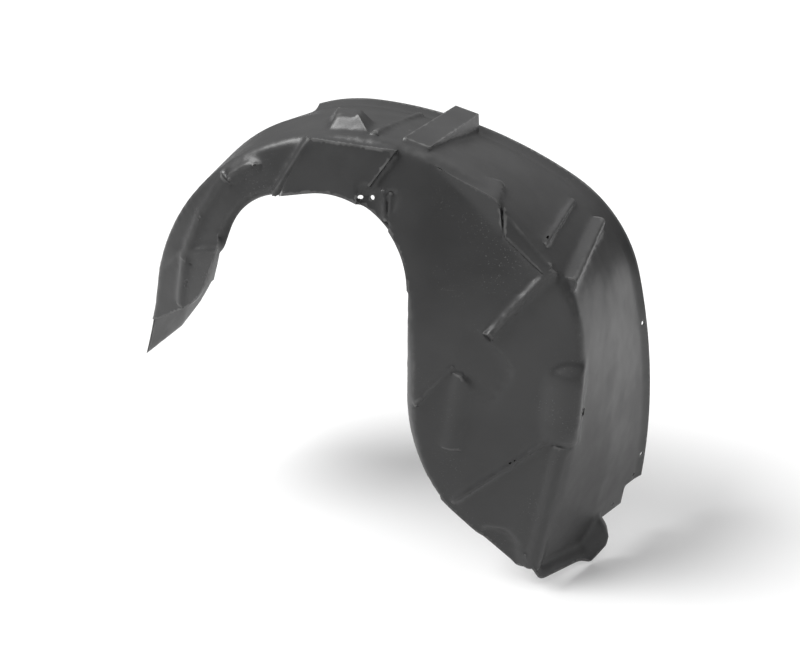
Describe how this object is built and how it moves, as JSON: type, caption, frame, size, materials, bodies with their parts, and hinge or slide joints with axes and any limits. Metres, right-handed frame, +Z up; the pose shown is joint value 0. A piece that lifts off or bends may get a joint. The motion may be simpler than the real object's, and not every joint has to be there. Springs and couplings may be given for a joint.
{
  "type": "wheel arch liner",
  "caption": "Moulded plastic wheel arch liner: a thin arched shell with an inner side wall, stiffening ribs, a rolled opening edge and a screw lip along the fender.",
  "frame": {"origin": "on the wheel axis, in the plane of the fender edge", "axes": "+Y along the wheel axis, outboard; +X towards the rear leg of the liner; +Z up"},
  "size_m": [0.7617, 0.2739, 0.6507],
  "materials": {
    "black_plastic": "satin, lightly dusty"
  },
  "bodies": {
    "root": {"arch_liner": "black_plastic"}
  },
  "joints": []
}
